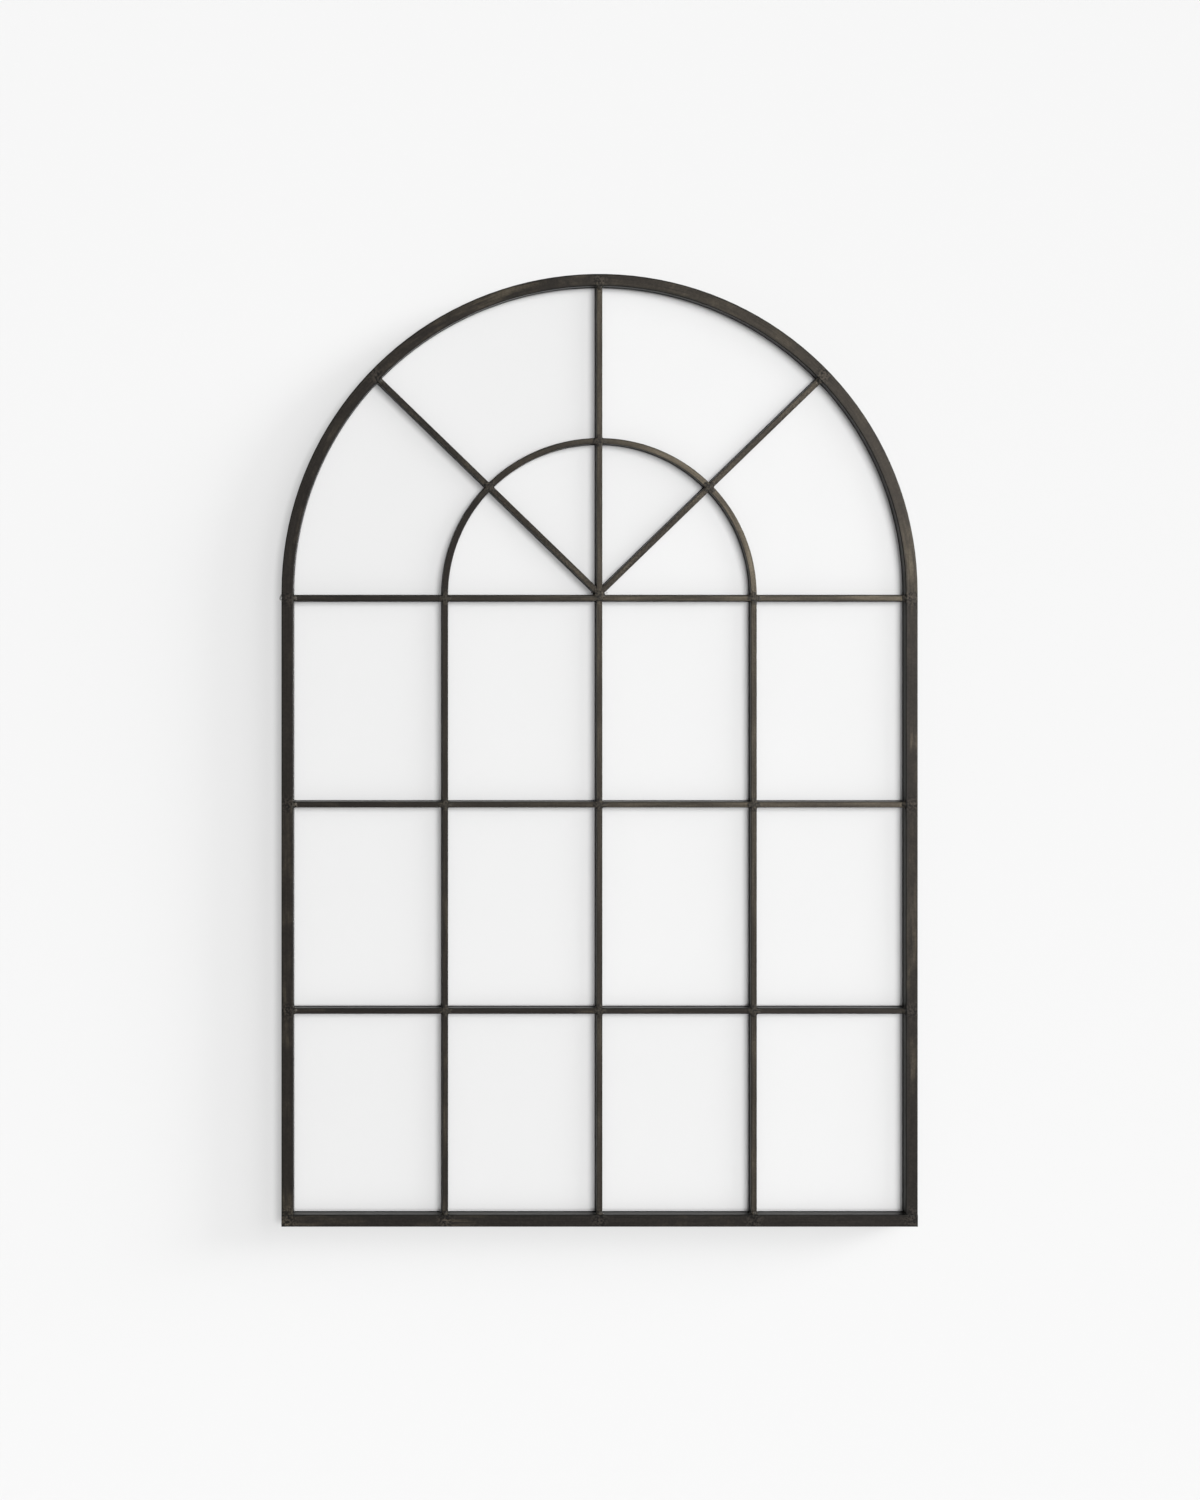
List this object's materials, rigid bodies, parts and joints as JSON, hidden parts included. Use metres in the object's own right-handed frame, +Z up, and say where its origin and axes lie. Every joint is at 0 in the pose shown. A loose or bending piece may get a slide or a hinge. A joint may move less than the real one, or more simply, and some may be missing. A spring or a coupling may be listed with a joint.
{
  "type": "arched window mirror",
  "caption": "Wall mirror in the form of a round-headed window: dark steel frame and fan-shaped glazing bars over separate mirror panes, hung by rings on its back.",
  "frame": {"origin": "centre of the arch on the wall plane, midway between the wall hooks that carry the rings", "axes": "+X to the right as seen from the front, +Z up, -Y out of the wall towards the viewer"},
  "size_m": [0.8198, 0.03, 1.2174],
  "materials": {
    "dark_iron": "blackened iron with a rubbed bronze tone, waxed satin",
    "mirror_glass": "silvered glass with polished edges",
    "fibreboard": "raw medium-density fibreboard",
    "foam_pad": "white double-sided foam",
    "zinc_plate": "bright zinc plate",
    "screw_steel": "zinc-plated steel",
    "bumper_rubber": "matt black rubber"
  },
  "bodies": {
    "frame": {"adhesive_pads": "foam_pad", "arch_tube": "dark_iron", "backing_board": "fibreboard", "bottom_rail": "dark_iron", "centre_mullion": "dark_iron", "clip_screws": "screw_steel", "cross_bar_1": "dark_iron", "cross_bar_2": "dark_iron", "cross_bar_3": "dark_iron", "fan_pane_inner_1": "mirror_glass", "fan_pane_inner_2": "mirror_glass", "fan_pane_inner_3": "mirror_glass", "fan_pane_inner_4": "mirror_glass", "fan_pane_outer_1": "mirror_glass", "fan_pane_outer_2": "mirror_glass", "fan_pane_outer_3": "mirror_glass", "fan_pane_outer_4": "mirror_glass", "hanger_screws": "screw_steel", "inner_arch": "dark_iron", "left_hanger_strap": "zinc_plate", "left_mullion": "dark_iron", "left_spoke": "dark_iron", "left_stile": "dark_iron", "pane_row_1_column_1": "mirror_glass", "pane_row_1_column_2": "mirror_glass", "pane_row_1_column_3": "mirror_glass", "pane_row_1_column_4": "mirror_glass", "pane_row_2_column_1": "mirror_glass", "pane_row_2_column_2": "mirror_glass", "pane_row_2_column_3": "mirror_glass", "pane_row_2_column_4": "mirror_glass", "pane_row_3_column_1": "mirror_glass", "pane_row_3_column_2": "mirror_glass", "pane_row_3_column_3": "mirror_glass", "pane_row_3_column_4": "mirror_glass", "rail_end_caps": "dark_iron", "retaining_clips": "zinc_plate", "right_hanger_strap": "zinc_plate", "right_mullion": "dark_iron", "right_spoke": "dark_iron", "right_stile": "dark_iron", "wall_bumpers": "bumper_rubber"},
    "left_ring": {"left_hanger_ring": "zinc_plate"},
    "right_ring": {"right_hanger_ring": "zinc_plate"}
  },
  "joints": [
    {"name": "left_ring_hinge", "type": "hinge", "parent": "frame", "child": "left_ring", "pos_m": [-0.39875, -0.00284, -0.0104], "axis": [-1, 0, 0], "range_deg": [-4, 172]},
    {"name": "right_ring_hinge", "type": "hinge", "parent": "frame", "child": "right_ring", "pos_m": [0.39875, -0.00284, -0.0104], "axis": [-1, 0, 0], "range_deg": [-4, 172]}
  ]
}
